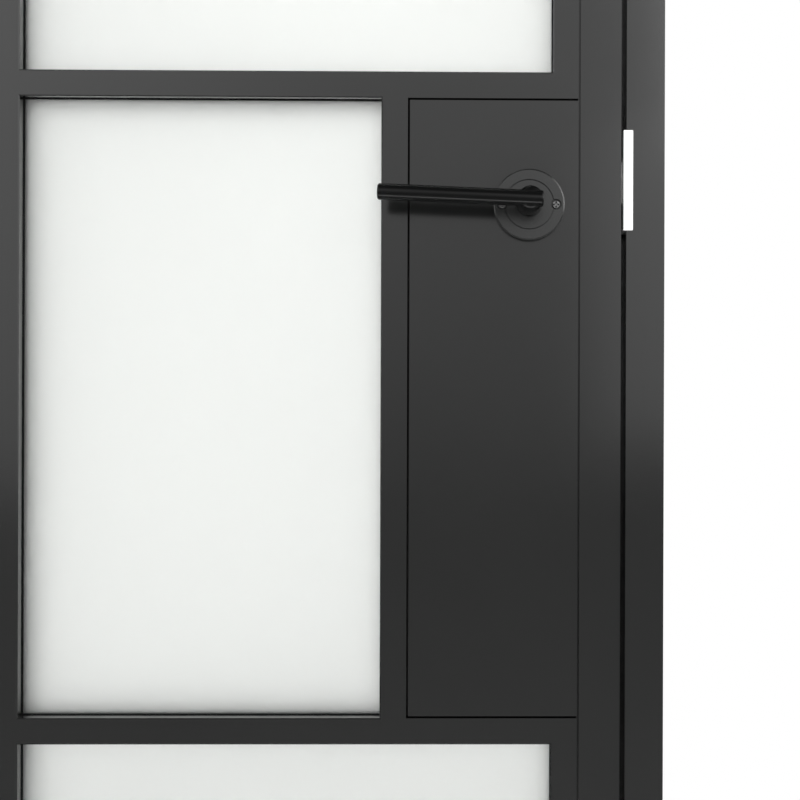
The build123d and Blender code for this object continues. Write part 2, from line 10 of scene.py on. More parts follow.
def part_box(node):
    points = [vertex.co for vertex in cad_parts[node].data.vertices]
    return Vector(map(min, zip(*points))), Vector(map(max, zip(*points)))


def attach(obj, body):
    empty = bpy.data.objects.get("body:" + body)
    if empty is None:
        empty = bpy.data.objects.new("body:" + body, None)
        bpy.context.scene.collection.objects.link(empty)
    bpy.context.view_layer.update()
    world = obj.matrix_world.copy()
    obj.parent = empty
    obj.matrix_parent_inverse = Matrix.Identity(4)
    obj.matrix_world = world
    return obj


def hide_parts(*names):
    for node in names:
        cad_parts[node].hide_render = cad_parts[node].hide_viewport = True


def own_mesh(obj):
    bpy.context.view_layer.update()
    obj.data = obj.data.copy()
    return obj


bl_info = {
    "name": "Glazed door finishes",
    "version": (1, 0, 0),
    "blender": (4, 5, 0),
    "location": "View3D > Sidebar > Door",
    "description": "Powder coat, milky glass, handle and hardware finishes for a glazed door",
    "category": "Object",
}

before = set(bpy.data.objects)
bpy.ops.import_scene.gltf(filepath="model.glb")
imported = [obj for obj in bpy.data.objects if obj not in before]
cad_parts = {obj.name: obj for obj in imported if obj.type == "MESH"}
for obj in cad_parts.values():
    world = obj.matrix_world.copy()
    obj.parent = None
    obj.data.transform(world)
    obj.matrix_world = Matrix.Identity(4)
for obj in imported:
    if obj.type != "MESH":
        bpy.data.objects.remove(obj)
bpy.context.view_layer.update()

SIDES = ("front", "back")
RIGHT, INWARDS, UP, DOWN = (1.0, 0.0, 0.0), (0.0, 1.0, 0.0), (0.0, 0.0, 1.0), (0.0, 0.0, -1.0)
WHITE = (1.0, 1.0, 1.0, 1.0)

# The handle, in metres. Its axis runs along y. Neck, socket and grub screw are measured outwards from the
# middle of the leaf, and the grip from that axis towards its tip.
HANDLE_X, HANDLE_Z = 0.395, 1.0097
LEVER_REACH = 0.0645
GRIP_HEEL, GRIP_TIP = -0.0094, 0.1106
NECK_FOOT, NECK_END = 0.019, 0.0685
SOCKET_END, SOCKET_HALF = 0.0565, 0.004
GRUB_Y, GRUB_RADIUS, GRUB_REACH = 0.0375, 0.0025, 0.016

# The rose screws, in metres. Top, seat and end are places along y.
SCREW_OFFSET = 0.0203
SCREW_TOP, SCREW_SEAT, SCREW_END = -0.028, -0.0255, 0.020
SCREW_HEAD, SCREW_SHANK, SCREW_ROUND = 0.003, 0.002, 0.0007
RECESS_DEPTH, RECESS_TAPER = 0.0018, 0.5

# The latch spring: its wire in metres, its turns, and how much closer its ends are wound, as a share.
SPRING_WIRE, SPRING_TURNS, SPRING_CLOSING = 0.0008, 5, 0.6

# New surfaces: steps round a turned piece, along one turn of the coil, round its wire and along a rounded
# edge, and the angle from which an edge stays sharp.
SEGMENTS = 96
COIL_STEPS = 36
WIRE_SEGMENTS = 12
ARC_STEPS = 10
SHARP_ANGLE = math.radians(35)

# The upward share from which an axis counts as upright, and the least number that anything is divided by.
STEEP = 0.9
TINY = 1e-6

# CAD nodes by finish.
HINGES = ("bottom", "middle", "top")
ROWS = 4
PANES = [f"glass_row{row}_{side}" for row in range(1, ROWS + 1) for side in ("left", "right")]
COATED = [
    "hinge_jamb", "lock_jamb", "head_jamb", "lock_stile", "hinge_stile", "top_rail", "bottom_rail",
    "front_grid", "back_grid", "front_lock_panel", "back_lock_panel", "fixing_hole_caps",
]
ROSES = [f"{side}_{piece}" for side in SIDES for piece in ("rose", "rose_disc")]
HINGE_PARTS = [f"hinge_{piece}_{place}" for piece in ("leaf_plate", "frame_plate", "pin") for place in HINGES]
HINGE_PARTS += ["hinge_leaf_screws", "hinge_frame_screws"]
RUBBER = ["hinge_jamb_seal", "lock_jamb_seal", "head_seal", "front_gaskets", "back_gaskets"]
SCREWS = ["rose_sleeve_nuts", "faceplate_screws", "strike_screws", "lever_grub_screws", "lock_case_screws"]
BRIGHT = ["strike_plate", "lock_faceplate", "latch_bolt"]
ZINC = ["lock_case", "lock_case_cover", "strike_box", "spindle", "follower"]
ALLOY = ["frame_corner_cleats", "rail_end_cleats"]
BOARD = ["lock_block"]

# Coats: how much lighter the thick spots are, the specular level, and how many times finer and flatter the
# ripples are than the frame's.
COATS = {
    "satin_black_powder": {"lighten": 1.5, "specular": 0.5, "finer": 1, "flatter": 1},
    "satin_black_rose": {"lighten": 1.4, "specular": 0.5, "finer": 3, "flatter": 4},
    "black_hinge_coat": {"lighten": 1.3, "specular": 0.5, "finer": 2, "flatter": 3},
    "satin_black_lever": {"lighten": 1.4, "specular": 0.15, "finer": 3, "flatter": 8},
}

# Bare metals: colours, roughness, how tightly the scratches lie along x, y and z, and how metallic.
METALS = {
    "dark_screw_steel": {
        "color": (0.2, 0.2, 0.2), "darker": (0.09, 0.09, 0.09), "roughness": 0.3,
        "scale": (4000, 4000, 4000), "metallic": 1.0,
    },
    "bright_strike_steel": {
        "color": (0.95, 0.95, 0.94), "darker": (0.84, 0.84, 0.83), "roughness": 0.32,
        "scale": (2500, 2500, 60), "metallic": 0.6,
    },
    "zinc_plate": {
        "color": (0.66, 0.67, 0.68), "darker": (0.5, 0.51, 0.53), "roughness": 0.4,
        "scale": (500, 500, 500), "metallic": 1.0,
    },
    "mill_alloy": {
        "color": (0.78, 0.78, 0.79), "darker": (0.62, 0.62, 0.63), "roughness": 0.42,
        "scale": (1800, 1800, 30), "metallic": 1.0,
    },
}

# Lamps: place, point they face, width and height, all in metres, and the setting that holds their power.
LAMPS = {
    "key_light": ((1.25, -2.3, 1.9), (0.4, 0, 1.0), (0.9, 0.9), "key_power"),
    "low_light": ((0.2, -0.60, 0.04), (0.2, -0.3, 1.0), (1.6, 0.2), "low_power"),
    "side_light": ((2.5, -0.32, 2.0), (0.4, 0, 1.1), (0.6, 2.2), "side_power"),
    "jamb_light": ((0.92, -2.3, 1.1), (0.92, 0, 1.1), (0.56, 0.85), "jamb_power"),
    "heel_light": ((2.1, -0.42, 1.25), (0.4, -0.06, 1.01), (0.14, 0.14), "heel_power"),
    "rear_light": ((0.6, 2.8, 2.6), (0, 0, 1.0), (2.0, 2.0), "rear_power"),
}


class CoatSettings(bpy.types.PropertyGroup):
    """Colours and textures of the coated metal."""

    frame_color: bpy.props.FloatVectorProperty(
        name="Frame colour", description="Powder coat of the frame and the leaf", subtype="COLOR", size=3,
        default=(0.006, 0.0063, 0.0061), min=0, max=1,
    )
    rose_color: bpy.props.FloatVectorProperty(
        name="Rose colour", description="Coat of the roses", subtype="COLOR", size=3,
        default=(0.009, 0.0095, 0.0092), min=0, max=1,
    )
    lever_color: bpy.props.FloatVectorProperty(
        name="Lever colour", description="Coat of the levers", subtype="COLOR", size=3,
        default=(0.002, 0.0021, 0.0021), min=0, max=1,
    )
    coat_roughness: bpy.props.FloatProperty(
        name="Coat roughness", description="Roughness of the powder coat", default=0.14, min=0, max=1,
    )
    rose_roughness: bpy.props.FloatProperty(
        name="Rose roughness", description="Roughness of the roses' coat", default=0.26, min=0, max=1,
    )
    lever_roughness: bpy.props.FloatProperty(
        name="Lever roughness", description="Roughness of the levers' coat", default=0.22, min=0, max=1,
    )
    hinge_roughness: bpy.props.FloatProperty(
        name="Hinge roughness", description="Roughness of the hinges' coat", default=0.36, min=0, max=1,
    )
    peel_size: bpy.props.FloatProperty(
        name="Peel size", description="Width of one ripple in the powder coat", default=0.0011,
        min=0.0001, unit="LENGTH",
    )
    peel_height: bpy.props.FloatProperty(
        name="Peel height", description="Height of the ripples in the powder coat", default=0.000012,
        min=0, unit="LENGTH",
    )


class HandleSettings(bpy.types.PropertyGroup):
    """Sizes of the levers and of the screws in the rose."""

    grip_radius: bpy.props.FloatProperty(
        name="Grip radius", description="Radius of the round grip", default=0.006, min=0.001, unit="LENGTH",
    )
    grip_round: bpy.props.FloatProperty(
        name="Grip end", description="Rounding of both ends of the grip", default=0.0017, min=0,
        unit="LENGTH",
    )
    neck_radius: bpy.props.FloatProperty(
        name="Neck radius", description="Radius of the neck", default=0.0095, min=0.001, unit="LENGTH",
    )
    neck_round: bpy.props.FloatProperty(
        name="Neck shoulder", description="Rounding where the neck meets the grip", default=0.006, min=0,
        unit="LENGTH",
    )
    tilt: bpy.props.FloatProperty(
        name="Tilt", description="Rise of the grip towards its tip", default=math.radians(2.25),
        unit="ROTATION",
    )
    recess_reach: bpy.props.FloatProperty(
        name="Recess reach", description="Half the length of the cross in a screw head", default=0.0023,
        min=0, unit="LENGTH",
    )
    recess_width: bpy.props.FloatProperty(
        name="Recess width", description="Half the width of each arm of the cross", default=0.00065,
        min=0, unit="LENGTH",
    )


class GlassSettings(bpy.types.PropertyGroup):
    """Colour and texture of the milky panes."""

    tint: bpy.props.FloatVectorProperty(
        name="Tint", description="Colour of light through the panes", subtype="COLOR", size=3,
        default=(0.985, 1.0, 0.98), min=0, max=1,
    )
    roughness: bpy.props.FloatProperty(
        name="Roughness", description="How far the milky glass scatters the light", default=0.78, min=0,
        max=1,
    )
    transmission: bpy.props.FloatProperty(
        name="Transmission", description="Share of the light that the glass lets in", default=0.94, min=0,
        max=1,
    )
    ior: bpy.props.FloatProperty(
        name="IOR", description="Index of refraction of the glass", default=1.48, min=1,
    )


class StageSettings(bpy.types.PropertyGroup):
    """Camera, lights and backdrop."""

    camera_place: bpy.props.FloatVectorProperty(
        name="Camera place", description="Where the lens stands", subtype="XYZ", unit="LENGTH", size=3,
        default=(0.3680, -0.9400, 0.8979),
    )
    yaw: bpy.props.FloatProperty(
        name="Yaw", description="Turn of the camera to the right", unit="ROTATION",
        default=math.radians(0.637),
    )
    pitch: bpy.props.FloatProperty(
        name="Pitch", description="Tilt of the camera upwards", unit="ROTATION",
        default=math.radians(0.038),
    )
    roll: bpy.props.FloatProperty(
        name="Roll", description="Lean of the camera, clockwise", unit="ROTATION",
        default=math.radians(0.187),
    )
    lens: bpy.props.FloatProperty(
        name="Lens", description="Focal length in millimetres on a 36 mm sensor", default=54.62, min=1,
    )
    shift: bpy.props.FloatVectorProperty(
        name="Shift", description="Shift of the lens as a share of the sensor", size=2,
        default=(-0.1329, -0.0598),
    )
    floor_size: bpy.props.FloatProperty(
        name="Floor size", description="Side of the square floor", default=14.0, unit="LENGTH",
    )
    key_power: bpy.props.FloatProperty(
        name="Key light", description="Power of the soft light in front, in watts", default=5.0, min=0,
    )
    side_power: bpy.props.FloatProperty(
        name="Side light", description="Power of the light at the lock side, in watts", default=20.0, min=0,
    )
    jamb_power: bpy.props.FloatProperty(
        name="Jamb light", description="Power of the lamp mirrored in the jamb, in watts", default=1.0,
        min=0,
    )
    heel_power: bpy.props.FloatProperty(
        name="Heel light", description="Power of the small lamp beside the lever's heel, in watts",
        default=1.6, min=0,
    )
    rear_power: bpy.props.FloatProperty(
        name="Rear light", description="Power of the light behind the glass, in watts", default=12.0, min=0,
    )
    low_power: bpy.props.FloatProperty(
        name="Low light", description="Power of the strip near the floor, in watts", default=7.0, min=0,
    )


# Each node group puts out values that vary over the surface, for the material's own shader to use.
def new_group(name, inputs, outputs):
    """Empty shader node group with named sockets, and its input and output nodes."""
    tree = bpy.data.node_groups.new(name, "ShaderNodeTree")
    for direction, sockets in (("INPUT", inputs), ("OUTPUT", outputs)):
        for label, kind in sockets.items():
            tree.interface.new_socket(name=label, in_out=direction, socket_type=kind)
    return tree, tree.nodes.new("NodeGroupInput"), tree.nodes.new("NodeGroupOutput")


def math_node(tree, operation, first, second=0.0):
    """Math node whose two inputs are values or sockets; gives its output socket."""
    node = tree.nodes.new("ShaderNodeMath")
    node.operation = operation
    for index, value in enumerate((first, second)):
        if isinstance(value, bpy.types.NodeSocket):
            tree.links.new(value, node.inputs[index])
        else:
            node.inputs[index].default_value = value
    return node.outputs[0]


def noise_node(tree, vector, scale, detail=2.0, roughness=0.5):
    """Noise read at the vector, its scale a value or a socket; gives its output socket."""
    node = tree.nodes.new("ShaderNodeTexNoise")
    node.inputs["Detail"].default_value = detail
    node.inputs["Roughness"].default_value = roughness
    tree.links.new(vector, node.inputs["Vector"])
    if isinstance(scale, bpy.types.NodeSocket):
        tree.links.new(scale, node.inputs["Scale"])
    else:
        node.inputs["Scale"].default_value = scale
    return node.outputs["Fac"]


def blend_colors(tree, share, first, second):
    """Colour between two sockets or colours, by a socket's value; gives its output socket."""
    node = tree.nodes.new("ShaderNodeMix")
    node.data_type = "RGBA"
    tree.links.new(share, node.inputs["Factor"])
    for label, value in (("A", first), ("B", second)):
        socket = [s for s in node.inputs if s.name == label and s.type == "RGBA"][0]
        if isinstance(value, bpy.types.NodeSocket):
            tree.links.new(value, socket)
        else:
            socket.default_value = (*value, 1.0)
    return [s for s in node.outputs if s.type == "RGBA"][0]


def ramp(tree, value, given, result, smooth=False):
    """Carries a value from the given range onto the resulting one, both as pairs, and holds it there."""
    node = tree.nodes.new("ShaderNodeMapRange")
    if smooth:
        node.interpolation_type = "SMOOTHSTEP"
    for label, number in zip(("From Min", "From Max", "To Min", "To Max"), (*given, *result)):
        node.inputs[label].default_value = number
    tree.links.new(value, node.inputs["Value"])
    return node.outputs["Result"]


def spread(tree, value, low, high):
    """Carries a value from 0 to 1 onto the range from low to high."""
    return ramp(tree, value, (0.0, 1.0), (low, high))


def make_peel_group():
    """Powder coat: fine ripples over slow waves, with a mottled tone and a mottled gloss."""
    grain_finer, grain_height = 4.0, 0.35
    cloud_scale, cloud_share, grain_share = 6.0, 0.6, 0.4
    darkest, lightest = -0.4, 1.2
    gloss_change = 0.07
    tree, given, result = new_group(
        "powder_peel",
        {
            "Vector": "NodeSocketVector", "Color": "NodeSocketColor", "Lighter": "NodeSocketColor",
            "Scale": "NodeSocketFloat", "Rough": "NodeSocketFloat",
        },
        {"Color": "NodeSocketColor", "Height": "NodeSocketFloat", "Roughness": "NodeSocketFloat"},
    )
    vector, scale = given.outputs["Vector"], given.outputs["Scale"]
    ripple = noise_node(tree, vector, scale, detail=1.0)
    grain = noise_node(tree, vector, math_node(tree, "MULTIPLY", scale, grain_finer))
    cloud = noise_node(tree, vector, cloud_scale, detail=4.0, roughness=0.6)
    height = math_node(tree, "ADD", ripple, math_node(tree, "MULTIPLY", grain, grain_height))
    tree.links.new(height, result.inputs["Height"])
    mottle = math_node(tree, "ADD", math_node(tree, "MULTIPLY", cloud, cloud_share),
                       math_node(tree, "MULTIPLY", grain, grain_share))
    tone = spread(tree, mottle, darkest, lightest)
    color = blend_colors(tree, tone, given.outputs["Color"], given.outputs["Lighter"])
    tree.links.new(color, result.inputs["Color"])
    gloss = math_node(tree, "ADD", given.outputs["Rough"], spread(tree, cloud, -gloss_change, gloss_change))
    tree.links.new(gloss, result.inputs["Roughness"])
    return tree


def make_satin_group():
    """Drawn metal: fine scratches from noise, long where the vector is stretched, with a mottled gloss."""
    cloud_scale = 0.15
    darkest, lightest = -0.2, 1.2
    gloss_change = 0.08
    tree, given, result = new_group(
        "drawn_metal",
        {
            "Vector": "NodeSocketVector", "Color": "NodeSocketColor", "Darker": "NodeSocketColor",
            "Rough": "NodeSocketFloat",
        },
        {"Color": "NodeSocketColor", "Height": "NodeSocketFloat", "Roughness": "NodeSocketFloat"},
    )
    scratch = noise_node(tree, given.outputs["Vector"], scale=1.0, detail=3.0, roughness=0.6)
    cloud = noise_node(tree, given.outputs["Vector"], cloud_scale)
    tree.links.new(scratch, result.inputs["Height"])
    mean = math_node(tree, "MULTIPLY", math_node(tree, "ADD", scratch, cloud), 0.5)
    tone = spread(tree, mean, darkest, lightest)
    color = blend_colors(tree, tone, given.outputs["Darker"], given.outputs["Color"])
    tree.links.new(color, result.inputs["Color"])
    gloss = math_node(tree, "ADD", given.outputs["Rough"], spread(tree, scratch, -gloss_change, gloss_change))
    tree.links.new(gloss, result.inputs["Roughness"])
    return tree


def new_material(name):
    """Material with its own Principled shader, its tree and the shader."""
    material = bpy.data.materials.new(name)
    material.use_nodes = True
    return material, material.node_tree, material.node_tree.nodes["Principled BSDF"]


def object_vector(tree, scale=(1, 1, 1)):
    """Object coordinates, stretched by a scale."""
    coordinates = tree.nodes.new("ShaderNodeTexCoord")
    mapping = tree.nodes.new("ShaderNodeMapping")
    mapping.inputs["Scale"].default_value = scale
    tree.links.new(coordinates.outputs["Object"], mapping.inputs["Vector"])
    return mapping.outputs["Vector"]


def place_group(tree, group, vector, values):
    """The group as a node of the material, with its own values."""
    node = tree.nodes.new("ShaderNodeGroup")
    node.node_tree = group
    tree.links.new(vector, node.inputs["Vector"])
    for label, value in values.items():
        node.inputs[label].default_value = value
    return node


def bump(tree, height, shader, distance):
    """Feeds a height into the shader's normal, the distance being how high its full value stands."""
    node = tree.nodes.new("ShaderNodeBump")
    node.inputs["Distance"].default_value = distance
    tree.links.new(height, node.inputs["Height"])
    tree.links.new(node.outputs["Normal"], shader.inputs["Normal"])


def coated_metal(name, color, roughness, coat):
    """Powder-coated or lacquered metal, a little lighter where the coat is thick."""
    look = COATS[name]
    material, tree, shader = new_material(name)
    group = bpy.data.node_groups.get("powder_peel") or make_peel_group()
    lighter = [min(1.0, channel * look["lighten"]) for channel in color]
    ripple_scale = 1 / (coat.peel_size / look["finer"])
    node = place_group(
        tree, group, object_vector(tree),
        {"Color": (*color, 1), "Lighter": (*lighter, 1), "Scale": ripple_scale, "Rough": roughness},
    )
    tree.links.new(node.outputs["Color"], shader.inputs["Base Color"])
    tree.links.new(node.outputs["Roughness"], shader.inputs["Roughness"])
    shader.inputs["Specular IOR Level"].default_value = look["specular"]
    bump(tree, node.outputs["Height"], shader, coat.peel_height / look["flatter"])
    return material


def drawn_metal(name):
    """Metal with fine scratches."""
    look = METALS[name]
    scratch_height = 0.00001
    material, tree, shader = new_material(name)
    group = bpy.data.node_groups.get("drawn_metal") or make_satin_group()
    node = place_group(
        tree, group, object_vector(tree, look["scale"]),
        {"Color": (*look["color"], 1), "Darker": (*look["darker"], 1), "Rough": look["roughness"]},
    )
    tree.links.new(node.outputs["Color"], shader.inputs["Base Color"])
    tree.links.new(node.outputs["Roughness"], shader.inputs["Roughness"])
    shader.inputs["Metallic"].default_value = look["metallic"]
    bump(tree, node.outputs["Height"], shader, scratch_height)
    return material


def milky_glass(name, glass):
    """Etched glass: clear through its body, its faces scattering the light, with a slow change in tint."""
    cloud_scale, deepest = 3.0, 0.985
    frost_scale, frost_change, frost_height = 2600.0, 0.04, 0.000005
    material, tree, shader = new_material(name)
    vector = object_vector(tree)
    cloud = noise_node(tree, vector, cloud_scale)
    deeper = [channel * deepest for channel in glass.tint]
    tree.links.new(blend_colors(tree, cloud, glass.tint, deeper), shader.inputs["Base Color"])
    frost = noise_node(tree, vector, frost_scale)
    roughness = spread(tree, frost, glass.roughness - frost_change, glass.roughness + frost_change)
    tree.links.new(roughness, shader.inputs["Roughness"])
    shader.inputs["Transmission Weight"].default_value = glass.transmission
    shader.inputs["IOR"].default_value = glass.ior
    bump(tree, frost, shader, frost_height)
    return material


def black_rubber(name):
    """Matt rubber with a fine grain."""
    grain_scale, grain_height = 3000.0, 0.00002
    darker, lighter = (0.002, 0.002, 0.002), (0.008, 0.008, 0.008)
    smoothest, roughest, specular = 0.6, 0.85, 0.12
    material, tree, shader = new_material(name)
    grain = noise_node(tree, object_vector(tree), grain_scale, detail=3.0)
    tree.links.new(blend_colors(tree, grain, darker, lighter), shader.inputs["Base Color"])
    tree.links.new(spread(tree, grain, smoothest, roughest), shader.inputs["Roughness"])
    shader.inputs["Specular IOR Level"].default_value = specular
    bump(tree, grain, shader, grain_height)
    return material


def core_board(name):
    """Sawn board whose near-black colour is painted shade for the lock panel's grooves: long fibres over wide
    growth bands, both from noise stretched along them.
    """
    fibre_scale, band_scale = (900, 900, 40), (60, 60, 3)
    # The board's near-black colours are painted shade, the dark seen deep in the grooves round the lock
    # panel; the fibres and bands are its grain.
    darker, lighter = (0.006, 0.005, 0.005), (0.02, 0.018, 0.016)
    roughness, fibre_height = 0.75, 0.0001
    material, tree, shader = new_material(name)
    fibre = noise_node(tree, object_vector(tree, fibre_scale), scale=1.0, detail=4.0)
    band = noise_node(tree, object_vector(tree, band_scale), scale=1.0)
    mean = math_node(tree, "MULTIPLY", math_node(tree, "ADD", fibre, band), 0.5)
    tree.links.new(blend_colors(tree, mean, darker, lighter), shader.inputs["Base Color"])
    shader.inputs["Roughness"].default_value = roughness
    bump(tree, fibre, shader, fibre_height)
    return material


def finish_nodes(material, names):
    """Puts a material in every slot of the named CAD nodes."""
    for name in names:
        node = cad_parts[name]
        if not node.material_slots:
            node.data.materials.append(material)
        for material_slot in node.material_slots:
            material_slot.material = material


def aim(obj, target):
    """Turns a light so that it faces a point."""
    obj.rotation_euler = (Vector(target) - obj.location).to_track_quat("-Z", "Y").to_euler()


def area_light(name, place, target, size, power):
    """Soft rectangular lamp that faces a point."""
    data = bpy.data.lights.new(name, "AREA")
    data.shape = "RECTANGLE"
    data.size, data.size_y = size
    data.energy = power
    lamp = bpy.data.objects.new(name, data)
    bpy.context.scene.collection.objects.link(lamp)
    lamp.location = place
    aim(lamp, target)
    return lamp


def mesh_object(name, points, faces):
    """New mesh object from arrays of points and faces."""
    mesh = bpy.data.meshes.new(name)
    mesh.from_pydata(points, [], faces)
    mesh.update()
    obj = bpy.data.objects.new(name, mesh)
    bpy.context.scene.collection.objects.link(obj)
    return obj


def rounded_rod(low, high, radius, low_round=0.0, high_round=0.0):
    """Profile of a rod, an array of distances and radii, on the axis at both ends.

    With e the rounding, the lower edge runs through (low + e (1 - cos a), radius - e (1 - sin a))
    for a from 0 to 90 degrees, and the upper edge is its mirror image.
    """
    def edge(rounding):
        """Distances in from one end and the radius at each, a single point where nothing is rounded."""
        angle = np.linspace(0, np.pi / 2, ARC_STEPS if rounding else 1)
        return rounding * (1 - np.cos(angle)), radius - rounding * (1 - np.sin(angle))

    rise, low_radius = edge(low_round)
    drop, high_radius = edge(high_round)
    along = np.concatenate(([low], low + rise, high - drop[::-1], [high]))
    return np.stack((along, np.concatenate(([0], low_radius, high_radius[::-1], [0]))), axis=1)


def square_outline(turn):
    """Square with sides of 2: the radius at an angle is 1 over the larger of its cosine and sine."""
    return 1 / np.maximum(np.abs(np.cos(turn)), np.abs(np.sin(turn)))


def cross_outline(turn, width):
    """Cross with arms of reach 1: the radius is the larger of two rectangles' radii, each 1 by width."""
    cosine = np.maximum(np.abs(np.cos(turn)), TINY)
    sine = np.maximum(np.abs(np.sin(turn)), TINY)
    return np.maximum(np.minimum(1 / cosine, width / sine), np.minimum(width / cosine, 1 / sine))


def skin(wall, poles):
    """Points and faces of a closed surface: rings joined by quads, and a fan to a pole at each end."""
    rows, around = wall.shape[:2]
    index = np.arange(rows * around).reshape(rows, around)
    after = np.roll(index, -1, axis=1)
    first, last = index.size, index.size + 1
    quads = np.stack((index[:-1], after[:-1], after[1:], index[1:]), axis=-1).reshape(-1, 4)
    low_cap = np.stack((np.full(around, first), after[0], index[0]), axis=1)
    high_cap = np.stack((np.full(around, last), index[-1], after[-1]), axis=1)
    return np.concatenate((wall.reshape(-1, 3), poles)), quads.tolist() + low_cap.tolist() + high_cap.tolist()


def turned(profile, start, direction, outline=None):
    """Points and faces of a closed solid, a profile carried round an axis.

    A point at angle t and distance s is start + s * axis + r(s) * f(t) * (cos t * across + sin t * third),
    where f, the outline, is 1 for a round piece. The profile's first and last points are its poles.
    """
    axis = np.array(direction, dtype=float)
    axis /= np.linalg.norm(axis)
    across = np.cross(axis, UP if abs(axis[2]) < STEEP else RIGHT)
    across /= np.linalg.norm(across)
    third = np.cross(axis, across)
    turn = np.linspace(0, 2 * np.pi, SEGMENTS, endpoint=False)
    ring = np.cos(turn)[:, None] * across + np.sin(turn)[:, None] * third
    if outline is not None:
        ring *= outline(turn)[:, None]
    along, radius = profile[1:-1, 0], profile[1:-1, 1]
    wall = start + along[:, None, None] * axis + radius[:, None, None] * ring
    return skin(wall, start + profile[[0, -1], 0][:, None] * axis)


def coil(start, length, radius, wire, turns, closing):
    """Points and faces of a round wire wound round the x axis, its ends closed.

    With u from 0 to 1, the wire's middle is at x = length * (u - closing * sin(2 pi u) / (2 pi)), at the
    coil's radius and an angle of 2 pi turns u. A point of the wire stands off it by
    wire / 2 * (cos v * outwards + sin v * sideways), with v going once round.
    """
    share = np.linspace(0, 1, turns * COIL_STEPS + 1)
    turn = 2 * np.pi * turns * share
    run = length * (share - closing * np.sin(2 * np.pi * share) / (2 * np.pi))
    outwards = np.stack((np.zeros_like(turn), np.cos(turn), np.sin(turn)), axis=1)
    middle = start + radius * outwards + run[:, None] * RIGHT
    heading = np.gradient(middle, axis=0)
    heading /= np.linalg.norm(heading, axis=1, keepdims=True)
    sideways = np.cross(heading, outwards)
    round_wire = np.linspace(0, 2 * np.pi, WIRE_SEGMENTS, endpoint=False)[None, :, None]
    ring = np.cos(round_wire) * outwards[:, None] + np.sin(round_wire) * sideways[:, None]
    return skin(middle[:, None] + wire / 2 * ring, middle[[0, -1]])


def solid(name, first, *steps):
    """Object made of turned solids: each step joins one to it or cuts one out of it."""
    obj = mesh_object(name, *first)
    for operation, piece in steps:
        tool = mesh_object(f"{name}_tool", *piece)
        change = obj.modifiers.new(operation, "BOOLEAN")
        change.operation = operation
        change.solver = "EXACT"
        change.object = tool
        shaped = obj.evaluated_get(bpy.context.evaluated_depsgraph_get())
        obj.data = bpy.data.meshes.new_from_object(shaped)
        obj.modifiers.clear()
        bpy.data.objects.remove(tool)
    obj.data.shade_smooth()
    obj.data.set_sharp_from_angle(angle=SHARP_ANGLE)
    return obj


def stand_in(obj, body, material, slot, *nodes):
    """Makes a new piece ride on a body in place of the CAD nodes it stands for."""
    obj.data.materials.append(material)
    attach(obj, body)
    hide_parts(*nodes)


def camera_axes(yaw, pitch, roll):
    """Columns of the camera's rotation: right, up and back, from its turn, tilt and lean."""
    forward = Vector((math.sin(yaw) * math.cos(pitch), math.cos(yaw) * math.cos(pitch), math.sin(pitch)))
    level = Vector((math.cos(yaw), -math.sin(yaw), 0.0))
    upright = level.cross(forward)
    right = level * math.cos(roll) + upright * math.sin(roll)
    up = upright * math.cos(roll) - level * math.sin(roll)
    return Matrix((right, up, -forward)).transposed()


class DOOR_OT_coat(bpy.types.Operator):
    """Coat the frame, the leaf, the hinges and the roses"""

    bl_idname = "door.coat"
    bl_label = "Coat metal"

    def execute(self, context):
        coat = context.scene.door_coat
        frame_coat = coated_metal("satin_black_powder", coat.frame_color, coat.coat_roughness, coat)
        rose_coat = coated_metal("satin_black_rose", coat.rose_color, coat.rose_roughness, coat)
        hinge_coat = coated_metal("black_hinge_coat", coat.frame_color, coat.hinge_roughness, coat)
        finish_nodes(frame_coat, COATED)
        finish_nodes(rose_coat, ROSES)
        finish_nodes(hinge_coat, HINGE_PARTS)
        return {"FINISHED"}


